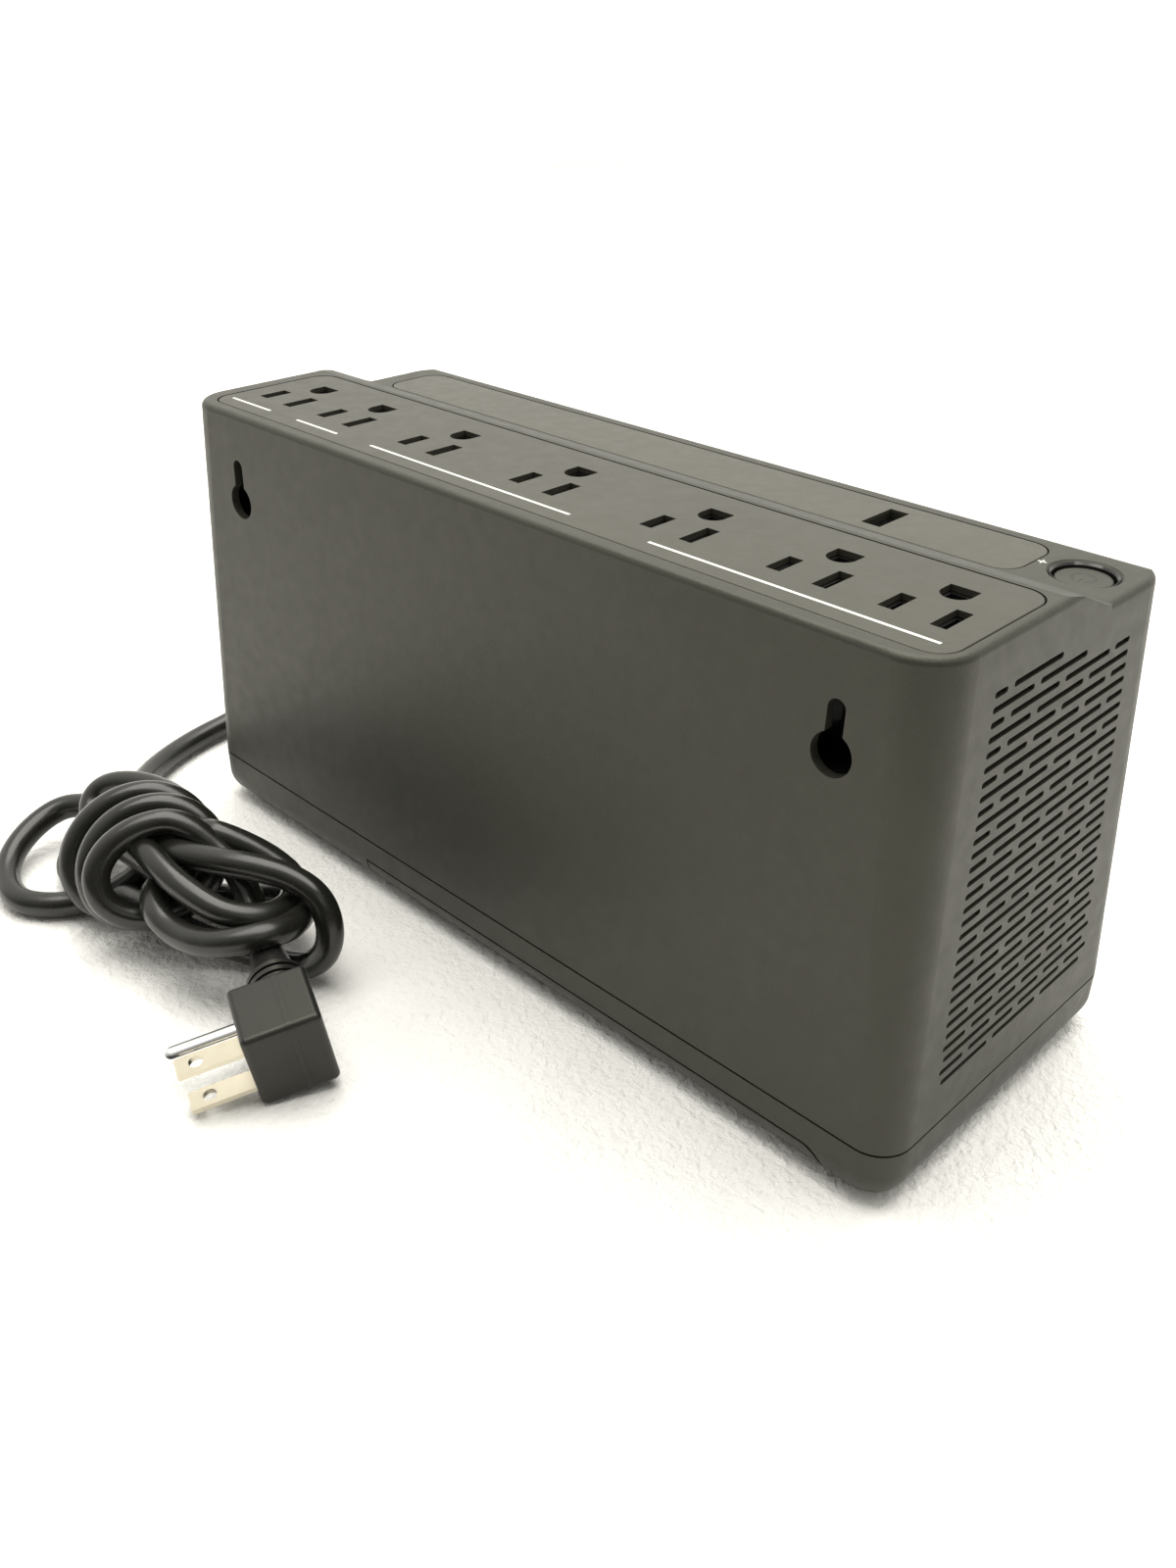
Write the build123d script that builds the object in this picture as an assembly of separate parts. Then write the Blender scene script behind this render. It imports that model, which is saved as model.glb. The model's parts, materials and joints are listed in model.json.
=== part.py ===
from build123d import *
import math
import os

# Uninterruptible power supply with its mains cord wound into a hank.
# All sizes are in millimetres. X runs along the case, Y points to its back,
# Z points up and the floor is z = 0. The origin is the middle of the case.

os.makedirs("parts", exist_ok=True)

# ---- driving dimensions ------------------------------------------------------

LENGTH = 274.0
DEPTH = 105.0
DECK_Z = 138.0
STRIP_Z = 131.0
SEAM_Z = 18.0
SEAM_GAP = 0.6
FOOT_HEIGHT = 1.6
WALL = 2.5
END_LEAN = 0.056
SIDE_LEAN = 0.028
BACK_TRIM = 0.02
SEAM_CORNER = 9.2
CORNER_GROWTH = 0.026
TRAY_EDGE_RADIUS = 8.6
NOSE_RADIUS = 7.0
ROOF_EDGE_RADIUS = 1.8
SLOPE_FOOT_Y = -18.5

# The deck and everything on it is centred slightly to one side.
DECK_CENTRE_X = -2.0
OUTLET_OFFSETS = (-110.1, -81.5, -44.7, 0.0, 44.7, 81.5, 110.1)
BATTERY_OUTLETS = 5
BLADE_SPACING = 12.7
BLADE_Y = 27.9
GROUND_Y = 15.6
GROUND_HOLE_SIZE = 5.6

PANEL_CORNER = 6.0
PANEL_GAP = 0.4
PANEL_THICKNESS = 1.5
PANEL_LEDGE = 3.0
DECK_PANEL_X = (-127.4, 123.8)
DECK_PANEL_Y = (2.8, 44.5)
LABEL_PANEL_X = (-106.0, 122.0)
LABEL_PANEL_Y = (-40.3, -19.0)
LABEL_THICKNESS = 0.9

GRILLE_TOP_Z = 125.96
GRILLE_PITCH = 3.292
GRILLE_ROWS = 30
SLOT_HEIGHT = 1.45
SLOT_LENGTH = 20.04
SLOT_PERIOD = 22.59

KEYHOLE_X = (-108.3, 105.0)
KEYHOLE_Z = 112.0
KEYHOLE_RADIUS = 5.1
KEYHOLE_SLOT_WIDTH = 4.4
KEYHOLE_TOP_Z = 124.5

BUTTON_X = -118.0
BUTTON_Y = -30.7
WELL_RADIUS = 7.9
BUTTON_RADIUS = 6.6
BUTTON_TRAVEL = 1.5
BUTTON_DEPTH = 1.2
WELL_CHAMFER = 0.7
USB_X = -65.4
USB_Y = -29.2
USB_OPENING = (5.5, 13.2)

DOOR_X = (-119.8, 54.0)
DOOR_FRONT_Y = -36.0
DOOR_TOP_Z = 10.3
DOOR_GAP = 0.6

FOOT_X = 125.0
FOOT_Y = 29.0
FOOT_RADIUS = 4.0
POST_X = 124.0
POST_Y = 42.5

BATTERY_SIZE = (151.0, 65.0, 94.0)
BATTERY_X = -32.0
BATTERY_FLOOR_Z = 6.0
DIVIDER_Z = 105.6
BOARD_Z = 109.0
BOARD_THICKNESS = 1.6
TRANSFORMER_X = 86.0

BREAKER_Y = 20.0
BREAKER_Z = 96.0
BREAKER_TRAVEL = 4.0

CORD_DIAMETER = 7.8
CORD_EXIT = (137.0, -34.0, 24.0)
CORD_ROUTE = (
    CORD_EXIT,
    (168.0, -34.0, 24.0),
    (184.0, -10.0, 13.0),
    (172.0, 18.0, 4.8),
    (169.0, 46.0, 4.2),
    (158.0, 70.0, 5.0),
    (136.0, 88.0, 10.0),
)
RELIEF_TIP_X = 162.0
RELIEF_RADIUS = 7.4

# Hank: a lobe each side of a drum of four wraps.
WRAP_START = (95.0, 108.0, 20.0)
WRAP_STEP = (-7.6, 1.0, 1.9)
WRAP_COUNT = 4
WRAP_SIDE = (0.45, 0.89, 0.0)
WRAP_UP = (0.39, -0.39, 0.83)
WRAP_RADIUS = 18.5

# Plug: the blades point along PLUG_FORWARD, the cord leaves against PLUG_ACROSS.
PLUG_ORIGIN = (-1.0, 131.0, 12.2)
PLUG_FORWARD = (0.393, 0.907, -0.15)
PLUG_ACROSS = (-0.919, 0.386, -0.077)
PLUG_X = (-15.3, 5.1)
PLUG_Y = (-11.8, 12.3)
PLUG_BACK = -20.6
PLUG_COLLAR_DEPTH = -12.5
PLUG_COLLAR_RADIUS = 7.8
PLUG_NECK_RADIUS = 6.2

# ---- helpers -----------------------------------------------------------------


def half_length(z):
    return LENGTH / 2 - END_LEAN * (z - SEAM_Z)


def half_depth(z):
    return DEPTH / 2 - SIDE_LEAN * (z - SEAM_Z)


def middle(span):
    return (span[0] + span[1]) / 2


def width(span):
    return span[1] - span[0]


def block(x, y, z):
    """A box given by its limits along each axis."""
    centre = Location((middle(x), middle(y), middle(z)))
    return centre * Box(width(x), width(y), width(z))


def rod(x, y, z, radius):
    """An upright cylinder standing on z[0] and reaching z[1]."""
    return Location((x, y, middle(z))) * Cylinder(radius, width(z))


def rounded_plate(x, y, z, corner):
    """A flat plate with rounded corners."""
    outline = RectangleRounded(width(x), width(y), corner)
    return extrude(Plane((middle(x), middle(y), z[0])) * outline, amount=width(z))


def ring(x, y, z, outer, inner):
    return rod(x, y, z, outer) - rod(x, y, (z[0] - 1, z[1] + 1), inner)


def grown(span, amount):
    return (span[0] - amount, span[1] + amount)


def joined(solids):
    """One solid out of pieces that overlap."""
    result = solids[0]
    for solid in solids[1:]:
        result = result + solid
    return result


def save(shape, node):
    export_step(shape, "parts/" + node + ".step")
    print(node, round(shape.volume, 1))


# ---- case --------------------------------------------------------------------


def case_section(z, inset=0.0):
    corner = SEAM_CORNER + CORNER_GROWTH * (z - SEAM_Z) - inset
    outline = RectangleRounded(2 * (half_length(z) - inset), 2 * (half_depth(z) - inset), corner)
    return Plane((0, 0, z)) * outline


def roof_profile(inset=0.0):
    """Everything under the roof seen from the end, the roof lowered by the inset."""
    radius = NOSE_RADIUS - inset
    nose_z = STRIP_Z - NOSE_RADIUS
    nose_y = -half_depth(nose_z) + NOSE_RADIUS
    tilt = math.radians(135.0)
    nose_middle = (nose_y + radius * math.cos(tilt), nose_z + radius * math.sin(tilt))
    with BuildSketch(Plane.YZ) as view:
        with BuildLine():
            Polyline(
                (-80.0, nose_z),
                (-80.0, -10.0),
                (80.0, -10.0),
                (80.0, DECK_Z - inset),
                (1.0, DECK_Z - inset),
                (-4.0, DECK_Z - 1.0 - inset),
                (-15.0, STRIP_Z + 0.9 - inset),
            )
            TangentArc((SLOPE_FOOT_Y, STRIP_Z - inset), (-15.0, STRIP_Z + 0.9 - inset), tangent=(1, 0))
            Line((SLOPE_FOOT_Y, STRIP_Z - inset), (nose_y, STRIP_Z - inset))
            ThreePointArc((nose_y, STRIP_Z - inset), nose_middle, (nose_y - radius, nose_z))
            Line((nose_y - radius, nose_z), (-80.0, nose_z))
        make_face()
    return view.sketch


def tapered_block(z_low, z_high, inset=0.0):
    return loft([case_section(z_low, inset), case_section(z_high, inset)], ruled=True)


def roof_solid(inset=0.0):
    return extrude(roof_profile(inset), amount=LENGTH, both=True)


def rounded_top(z):
    """The tapered case up to a level, its top edges softened."""
    case = tapered_block(SEAM_Z + SEAM_GAP / 2, z)
    return fillet(case.faces().sort_by(Axis.Z)[-1].edges(), ROOF_EDGE_RADIUS)


def in_front_of_back():
    """All the space in front of the flat, leaning back face."""
    origin = (0, half_depth(SEAM_Z) - BACK_TRIM, SEAM_Z)
    back = Plane(origin=origin, x_dir=(1, 0, 0), z_dir=(0, 1, SIDE_LEAN))
    return back * Pos(0, 0, -100) * Box(400, 400, 200)


def make_case_form():
    """The outer form of the upper housing: a deck, a slope and a lower strip."""
    behind = block((-200, 200), (SLOPE_FOOT_Y, 100), (0, 200))
    before = block((-200, 200), (-100, SLOPE_FOOT_Y), (0, 200))
    deck = rounded_top(DECK_Z) & roof_solid() & behind
    strip = rounded_top(STRIP_Z) & roof_solid() & before
    return (deck + strip) & in_front_of_back()


def make_cavity(inset):
    return tapered_block(SEAM_Z - 5, DECK_Z + 8, inset) & roof_solid(inset)


def grille_slots():
    """Staggered vent slots through the end wall."""
    slots = []
    for row in range(GRILLE_ROWS):
        z = GRILLE_TOP_Z - row * GRILLE_PITCH
        left = 29.2 + 0.052 * (GRILLE_TOP_Z - z)
        right = -30.1 - 0.052 * (GRILLE_TOP_Z - z)
        start = 24.25 + SLOT_PERIOD - 2.55 if row % 2 == 0 else 12.96 + SLOT_PERIOD - 2.55
        spans = []
        for column in range(4):
            high = min(start - column * SLOT_PERIOD, left)
            low = max(start - SLOT_LENGTH - column * SLOT_PERIOD, right)
            if high - low > 2.0:
                spans.append((low, high))
        if row < 2:
            spans = spans[:2]
        for low, high in spans:
            slot = Plane.YZ * Pos((low + high) / 2, z) * SlotOverall(high - low, SLOT_HEIGHT)
            tool = extrude(slot, amount=14.0)
            slots.append(Pos(-LENGTH / 2 - 2, 0, 0) * tool)
    return slots


def keyhole_tool(x):
    """A round hole with a narrower slot above it, cut through the back wall."""
    circle = Pos(x, KEYHOLE_Z) * Circle(KEYHOLE_RADIUS)
    slot_radius = KEYHOLE_SLOT_WIDTH / 2
    slot_length = KEYHOLE_TOP_Z - slot_radius - KEYHOLE_Z
    slot = Pos(x, KEYHOLE_Z + slot_length / 2) * Rectangle(KEYHOLE_SLOT_WIDTH, slot_length)
    top = Pos(x, KEYHOLE_Z + slot_length) * Circle(slot_radius)
    outline = Plane.XZ * (circle + slot + top)
    return Pos(0, DEPTH / 2 + 2, 0) * extrude(outline, amount=7.5)


def corner_posts(z):
    posts = []
    for side in (-1, 1):
        for end in (-1, 1):
            posts.append(rod(end * POST_X, side * POST_Y, z, 3.6))
    return posts


def corner_holes(z, radius):
    holes = []
    for side in (-1, 1):
        for end in (-1, 1):
            holes.append(rod(end * POST_X, side * POST_Y, z, radius))
    return holes


def make_upper_housing():
    outer = make_case_form()
    cavity = make_cavity(WALL)
    core = make_cavity(1.0)
    shell = outer - cavity
    for post in corner_posts((SEAM_Z + SEAM_GAP / 2, DECK_Z)):
        shell = shell + (post & core)
    recess_z = (DECK_Z - PANEL_THICKNESS - 0.1, DECK_Z + 5)
    cuts = corner_holes((SEAM_Z - 1, SEAM_Z + 18), 1.6)
    cuts.append(
        rounded_plate(
            grown(DECK_PANEL_X, PANEL_GAP), grown(DECK_PANEL_Y, PANEL_GAP), recess_z, PANEL_CORNER + PANEL_GAP
        )
    )
    cuts.append(
        rounded_plate(
            grown(DECK_PANEL_X, -PANEL_LEDGE),
            grown(DECK_PANEL_Y, -PANEL_LEDGE),
            (DECK_Z - 8, DECK_Z),
            PANEL_CORNER - PANEL_LEDGE,
        )
    )
    cuts.append(
        rounded_plate(
            grown(LABEL_PANEL_X, PANEL_GAP),
            grown(LABEL_PANEL_Y, PANEL_GAP),
            (STRIP_Z - LABEL_THICKNESS - 0.1, STRIP_Z + 5),
            PANEL_CORNER + PANEL_GAP,
        )
    )
    cuts.append(rod(BUTTON_X, BUTTON_Y, (STRIP_Z - 5, STRIP_Z + 5), WELL_RADIUS))
    cuts.append(flare(STRIP_Z, WELL_RADIUS, WELL_CHAMFER))
    cuts.append(usb_opening((STRIP_Z - 6, STRIP_Z + 1)))
    cuts.append(along_x((LENGTH / 2 - 15, LENGTH / 2 + 15), BREAKER_Y, BREAKER_Z, 5.3))
    cuts.append(along_x((LENGTH / 2 - 10, LENGTH / 2 + 10), CORD_EXIT[1], CORD_EXIT[2], RELIEF_RADIUS + 0.2))
    cuts.extend(keyhole_tool(x) for x in KEYHOLE_X)
    cuts.extend(grille_slots())
    return shell - cuts


def usb_opening(z):
    half_x = USB_OPENING[0] / 2
    half_y = USB_OPENING[1] / 2
    return block((USB_X - half_x, USB_X + half_x), (USB_Y - half_y, USB_Y + half_y), z)


def tray_shell():
    top = SEAM_Z - SEAM_GAP / 2
    outer = extrude(case_section(SEAM_Z), amount=FOOT_HEIGHT - SEAM_Z)
    outer = fillet(outer.faces().sort_by(Axis.Z)[0].edges(), TRAY_EDGE_RADIUS)
    inner = extrude(case_section(SEAM_Z + 1, WALL), amount=FOOT_HEIGHT + WALL - SEAM_Z - 1)
    inner = fillet(inner.faces().sort_by(Axis.Z)[0].edges(), TRAY_EDGE_RADIUS - WALL)
    cut_off = block((-200, 200), (-100, 100), (top, 60))
    return (outer - inner) - cut_off


def door_region(gap=0.0):
    """The part of the tray shell that slides out as the battery door."""
    low_x = DOOR_X[0] + gap
    high_x = DOOR_X[1] - gap
    top = DOOR_TOP_Z - gap
    with BuildSketch(Plane.XZ) as view:
        with BuildLine():
            Polyline((low_x + 6, top), (high_x, top), (high_x, -5), (low_x, -5), (low_x, top - 6))
            RadiusArc((low_x, top - 6), (low_x + 6, top), 6)
        make_face()
    depth = DEPTH / 2 + 5 - (DOOR_FRONT_Y + gap)
    return Pos(0, DEPTH / 2 + 5, 0) * extrude(view.sketch, amount=depth)


def make_base_tray():
    shell = tray_shell()
    tongue = extrude(case_section(SEAM_Z + 4, WALL + 0.4), amount=-12)
    join = extrude(case_section(SEAM_Z - 2, WALL - 0.2), amount=-6)
    tongue = (tongue + join) - extrude(case_section(SEAM_Z + 5, WALL + 1.6), amount=-20)
    tray = shell + tongue
    tray = tray - door_region()
    for boss in corner_posts((FOOT_HEIGHT + 1.5, SEAM_Z - SEAM_GAP / 2)):
        tray = tray + boss
    outer = extrude(case_section(SEAM_Z), amount=FOOT_HEIGHT - SEAM_Z)
    outer = fillet(outer.faces().sort_by(Axis.Z)[0].edges(), TRAY_EDGE_RADIUS)
    tray = tray & (outer + extrude(case_section(SEAM_Z - 2, WALL), amount=10))
    cuts = corner_holes((-1, SEAM_Z + 10), 1.8)
    cuts.extend(corner_holes((-1, 8), 3.3))
    cuts.extend(corner_holes((SEAM_Z - SEAM_GAP / 2, SEAM_Z + 10), 3.9))
    for foot_x in (-FOOT_X, FOOT_X):
        for foot_y in (-FOOT_Y, FOOT_Y):
            cuts.append(rod(foot_x, foot_y, (-1, FOOT_HEIGHT + 0.6), FOOT_RADIUS + 0.05))
    cuts.append(along_x((LENGTH / 2 - 10, LENGTH / 2 + 10), CORD_EXIT[1], CORD_EXIT[2], RELIEF_RADIUS + 0.8))
    cuts.append(along_x((LENGTH / 2 - 9, LENGTH / 2 - 3), CORD_EXIT[1], CORD_EXIT[2], RELIEF_RADIUS + 2.6))
    return tray - cuts


def make_battery_door():
    door = tray_shell() & door_region(DOOR_GAP)
    for x in (-90.0, -33.0, 24.0):
        door = door + block((x - 12, x + 12), (DOOR_FRONT_Y - 6, DOOR_FRONT_Y + 6), (4.4, 5.6))
        door = door + block((x - 12, x + 12), (DOOR_FRONT_Y + 1, DOOR_FRONT_Y + 6), (3.5, 5.6))
    grips = []
    for y in (28.0, 33.0, 38.0):
        grips.append(block((-54, -12), (y - 1, y + 1), (-1, FOOT_HEIGHT + 0.7)))
    return door - grips


def make_rubber_feet():
    feet = []
    for foot_x in (-FOOT_X, FOOT_X):
        for foot_y in (-FOOT_Y, FOOT_Y):
            foot = rod(foot_x, foot_y, (0, FOOT_HEIGHT + 0.6), FOOT_RADIUS)
            feet.append(fillet(foot.faces().sort_by(Axis.Z)[0].edges(), 0.8))
    return Compound(children=feet)


def make_housing_screws():
    screws = []
    for side in (-1, 1):
        for end in (-1, 1):
            head = rod(end * POST_X, side * POST_Y, (6.0, 8.0), 3.0)
            shank = rod(end * POST_X, side * POST_Y, (7.0, SEAM_Z + 16), 1.5)
            recess = block(
                (end * POST_X - 2, end * POST_X + 2),
                (side * POST_Y - 0.4, side * POST_Y + 0.4),
                (5.0, 6.8),
            )
            screws.append(head + shank - recess)
    return Compound(children=screws)


# ---- deck and control strip --------------------------------------------------


def outlet_centres():
    return [DECK_CENTRE_X + offset for offset in OUTLET_OFFSETS]


def ground_hole(x, size, z):
    """A D shaped hole, round towards the blade slots."""
    radius = size / 2
    round_part = rod(x, GROUND_Y, z, radius)
    flat_part = block((x - radius, x + radius), (GROUND_Y - radius, GROUND_Y), z)
    return round_part + flat_part


def outlet_openings(x, z, growth):
    """Two blade slots and a ground hole; growth widens them all round."""
    half = BLADE_SPACING / 2
    short_y = (BLADE_Y - 3.6 - growth, BLADE_Y + 3.6 + growth)
    long_y = (BLADE_Y - 4.3 - growth, BLADE_Y + 4.3 + growth)
    short_slot = block((x + half - 1.1 - growth, x + half + 1.1 + growth), short_y, z)
    long_slot = block((x - half - 1.1 - growth, x - half + 1.1 + growth), long_y, z)
    return [short_slot, long_slot, ground_hole(x, GROUND_HOLE_SIZE + 2 * growth, z)]


def make_outlet_deck_panel():
    z = (DECK_Z - PANEL_THICKNESS, DECK_Z)
    panel = rounded_plate(DECK_PANEL_X, DECK_PANEL_Y, z, PANEL_CORNER)
    panel = fillet(panel.faces().sort_by(Axis.Z)[-1].edges(), 0.3)
    cuts = []
    for x in outlet_centres():
        cuts.extend(outlet_openings(x, (DECK_Z - 3, DECK_Z + 1), 0.8))
    return panel - cuts


def make_receptacle_block(centres):
    """Black moulded block with true blade slots, below the deck panel."""
    x = (min(centres) - 10.5, max(centres) + 10.5)
    z = (118.0, DECK_Z - PANEL_THICKNESS - 0.2)
    body = rounded_plate(x, (9.0, 38.0), z, 2.0)
    cuts = []
    for centre in centres:
        cuts.extend(outlet_openings(centre, (z[1] - 16, z[1] + 1), 0.0))
    return body - cuts


def make_bus(strip_y, contact_y, centres, x_shift):
    """A brass strip under the receptacle block with a contact below each slot."""
    x = (min(centres) + x_shift - 5, max(centres) + x_shift + 5)
    bus = block(x, strip_y, (114.0, 115.0))
    for centre in centres:
        at = centre + x_shift
        bus = bus + block((at - 1.0, at + 1.0), contact_y, (114.0, 117.9))
    return bus


def make_label_panel():
    z = (STRIP_Z - LABEL_THICKNESS, STRIP_Z)
    panel = rounded_plate(LABEL_PANEL_X, LABEL_PANEL_Y, z, PANEL_CORNER)
    panel = fillet(panel.faces().sort_by(Axis.Z)[-1].edges(), 0.2)
    return panel - usb_opening((STRIP_Z - 3, STRIP_Z + 1))


def flare(top, radius, size):
    """The cone that chamfers the rim of the power button's well."""
    cone = Cone(radius, radius + size, size)
    return Pos(BUTTON_X, BUTTON_Y, top - size / 2 + 0.01) * cone


def make_button_well_ring():
    tube = ring(BUTTON_X, BUTTON_Y, (122.0, STRIP_Z - 0.3), WELL_RADIUS - 0.1, WELL_RADIUS - 0.7)
    flange = ring(BUTTON_X, BUTTON_Y, (126.6, 128.2), WELL_RADIUS + 1.6, WELL_RADIUS - 0.7)
    return tube + flange - flare(STRIP_Z - 0.3, WELL_RADIUS - 0.7, 0.5)


def make_power_button():
    cap = rod(BUTTON_X, BUTTON_Y, (125.4, STRIP_Z - BUTTON_DEPTH), BUTTON_RADIUS)
    cap = fillet(cap.faces().sort_by(Axis.Z)[-1].edges(), 0.5)
    stem = rod(BUTTON_X, BUTTON_Y, (118.4, 126.0), 2.0)
    return cap + stem


def make_power_switch():
    top = BOARD_Z + BOARD_THICKNESS
    body = block((BUTTON_X - 4, BUTTON_X + 4), (BUTTON_Y - 4, BUTTON_Y + 4), (top + 0.05, 116.2))
    return fillet(body.edges().filter_by(Axis.Z), 0.6)


def make_usb_port_shell():
    z = (115.0, STRIP_Z - WALL - 0.2)
    outer = block((USB_X - 3.35, USB_X + 3.35), (USB_Y - 7.2, USB_Y + 7.2), z)
    inner = block((USB_X - 2.85, USB_X + 2.85), (USB_Y - 6.7, USB_Y + 6.7), (z[0] + 1, z[1] + 1))
    return outer - inner


def make_usb_port_tongue():
    return block((USB_X - 1.7, USB_X + 0.3), (USB_Y - 5.6, USB_Y + 5.6), (116.3, 127.5))


def make_usb_board():
    z = (113.2, 114.8)
    board = block((USB_X - 12, USB_X + 12), (USB_Y - 10, USB_Y + 10), z)
    for offset in (-7.5, -2.5, 2.5, 7.5):
        pin_z = (BOARD_Z + BOARD_THICKNESS + 0.05, z[0] + 0.2)
        board = board + block((USB_X + 9, USB_X + 10), (USB_Y + offset - 0.5, USB_Y + offset + 0.5), pin_z)
    return board


def make_keyhole_pocket(x):
    """A blind box behind the keyhole that takes the head of a wall screw."""
    back_y = half_depth(KEYHOLE_TOP_Z) - WALL - 0.35
    front_y = back_y - 8.0
    outer = block((x - 8.5, x + 8.5), (front_y, back_y), (105.0, 126.6))
    inner = block((x - 7.3, x + 7.3), (front_y + 1.2, back_y + 1), (106.2, 125.4))
    return outer - inner


# ---- power train -------------------------------------------------------------


def battery_span():
    return (BATTERY_X - BATTERY_SIZE[0] / 2, BATTERY_X + BATTERY_SIZE[0] / 2)


def make_battery():
    top = BATTERY_FLOOR_Z + BATTERY_SIZE[2]
    x = battery_span()
    y = (-BATTERY_SIZE[1] / 2, BATTERY_SIZE[1] / 2)
    case = block(x, y, (BATTERY_FLOOR_Z, top))
    case = fillet(case.edges(), 1.5)
    groove = block(grown(x, 1), grown(y, 1), (top - 9, top - 8.2)) - block(
        grown(x, -0.6), grown(y, -0.6), (top - 10, top - 7)
    )
    vent_strip = block(grown(x, -20), (-9, 9), (top - 0.6, top + 1))
    return case - groove - vent_strip


def terminal_y(side):
    return side * 22.0


def make_battery_terminals():
    """Two quick connect tabs on top of the battery."""
    top = BATTERY_FLOOR_Z + BATTERY_SIZE[2]
    tabs = []
    for side in (-1, 1):
        y = terminal_y(side)
        foot = block((30, 38), (y - 3.2, y + 3.2), (top + 0.02, top + 0.8))
        tab = block((37.2, 38), (y - 3.2, y + 3.2), (top + 0.02, top + 4.8))
        tabs.append(foot + tab)
    return Compound(children=tabs)


def make_battery_lead(side):
    """A lead from a battery tab, round the divider and up to the board."""
    y = terminal_y(side)
    top = BATTERY_FLOOR_Z + BATTERY_SIZE[2]
    route = FilletPolyline(
        (39.0, y, top + 2.6), (54.0, y, top + 2.6), (54.0, y, BOARD_Z + 3.2), (44.0, y, BOARD_Z + 3.2), radius=4.0
    )
    start = Plane(origin=route @ 0, z_dir=route % 0)
    lead = sweep(start * Circle(1.5), path=route)
    receptacle = block((38.1, 40.0), (y - 3.6, y + 3.6), (top + 0.4, top + 4.6))
    solder_leg = rod(45.0, y, (BOARD_Z + BOARD_THICKNESS + 0.05, BOARD_Z + 3.8), 1.3)
    return joined([lead, receptacle, solder_leg])


def make_battery_divider():
    """A moulded floor above the battery that carries the main board."""
    z = (DIVIDER_Z, DIVIDER_Z + 1.4)
    floor = block((-124, 59), (-38, 36), z)
    for x, y in board_screw_points():
        floor = floor + rod(x, y, (z[0], BOARD_Z - 0.05), 3.5)
    for x in (-122.4, 57.4):
        for y in (-33, 33):
            floor = floor + block((x - 1.6, x + 1.6), (y - 3, y + 3), (FOOT_HEIGHT + WALL + 0.05, z[1]))
    holes = [rod(x, y, (z[0] - 1, BOARD_Z + 1), 1.4) for x, y in board_screw_points()]
    holes.extend(rod(54.0, terminal_y(side), (z[0] - 1, z[1] + 1), 2.4) for side in (-1, 1))
    return floor - holes


def board_screw_points():
    return [(-112.0, -20.0), (-112.0, 8.0), (46.0, -10.0), (46.0, 8.0)]


def make_board_screws():
    screws = []
    top = BOARD_Z + BOARD_THICKNESS
    for x, y in board_screw_points():
        head = rod(x, y, (top + 0.05, top + 2.0), 2.8)
        shank = rod(x, y, (DIVIDER_Z + 0.3, top + 1), 1.2)
        screws.append(head + shank)
    return Compound(children=screws)


def make_main_board():
    z = (BOARD_Z, BOARD_Z + BOARD_THICKNESS)
    board = block((-123, 50), (-38, 34), z)
    holes = [rod(x, y, (z[0] - 1, z[1] + 1), 1.6) for x, y in board_screw_points()]
    return board - holes


def make_heatsink():
    z = BOARD_Z + BOARD_THICKNESS + 0.05
    sink = block((-22, 22), (-28, -24), (z, 125))
    for index in range(8):
        x = -20.0 + index * 40.0 / 7
        sink = sink + block((x - 0.7, x + 0.7), (-24.5, -14), (z + 2, 124))
    return sink


def make_mosfets():
    """Four power transistors standing against the heatsink."""
    z = BOARD_Z + BOARD_THICKNESS + 0.05
    packages = []
    for index in range(4):
        x = -16.5 + 11.0 * index
        body = block((x - 4.8, x + 4.8), (-32.6, -28.1), (z + 3, z + 12))
        legs = [block((x + dx - 0.4, x + dx + 0.4), (-30.8, -30.2), (z, z + 4)) for dx in (-2.5, 0, 2.5)]
        packages.append(joined([body] + legs))
    return Compound(children=packages)


def make_relays():
    z = BOARD_Z + BOARD_THICKNESS + 0.05
    return Compound(
        children=[
            fillet(block((x - 9.5, x + 9.5), (-37.8, -24.6), (z, z + 14.5)).edges().filter_by(Axis.Z), 1.0)
            for x in (-42.0, 38.0)
        ]
    )


def make_capacitors():
    z = BOARD_Z + BOARD_THICKNESS + 0.05
    cans = []
    for x, y, radius, height in ((-87, -31, 6.3, 14), (-98, -14, 5, 13), (-86, -14, 5, 13), (-75, -12, 4, 11)):
        can = rod(x, y, (z, z + height), radius)
        cans.append(fillet(can.faces().sort_by(Axis.Z)[-1].edges(), 0.8))
    return Compound(children=cans)


def make_surge_varistors():
    """Disc varistors standing in a row."""
    z = BOARD_Z + BOARD_THICKNESS + 0.05
    discs = []
    for x in (-64.0, -56.0, -48.0):
        disc = Pos(x, -14, z + 7.2) * Rot(0, 90, 0) * Cylinder(6.0, 3.6)
        discs.append(disc + block((x - 0.5, x + 0.5), (-17, -11), (z, z + 4)))
    return Compound(children=discs)


def make_choke():
    z = BOARD_Z + BOARD_THICKNESS + 0.05
    return Pos(32, -12, z + 5.5) * Torus(6.0, 3.2) + rod(32, -12, (z, z + 3.5), 5.0)


def make_buzzer():
    z = BOARD_Z + BOARD_THICKNESS + 0.05
    body = rod(-101, -31, (z, z + 7.5), 6.0)
    return body - rod(-101, -31, (z + 6.5, z + 9), 1.2)


def make_transformer_core():
    """A laminated block with two windows for the winding."""
    x = (TRANSFORMER_X - 14, TRANSFORMER_X + 14)
    core = block(x, (-32, 32), (6.8, 60.8))
    windows = [block(grown(x, 1), (y - 5.5, y + 5.5), (17.8, 49.8)) for y in (-16.5, 16.5)]
    return core - windows


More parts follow.
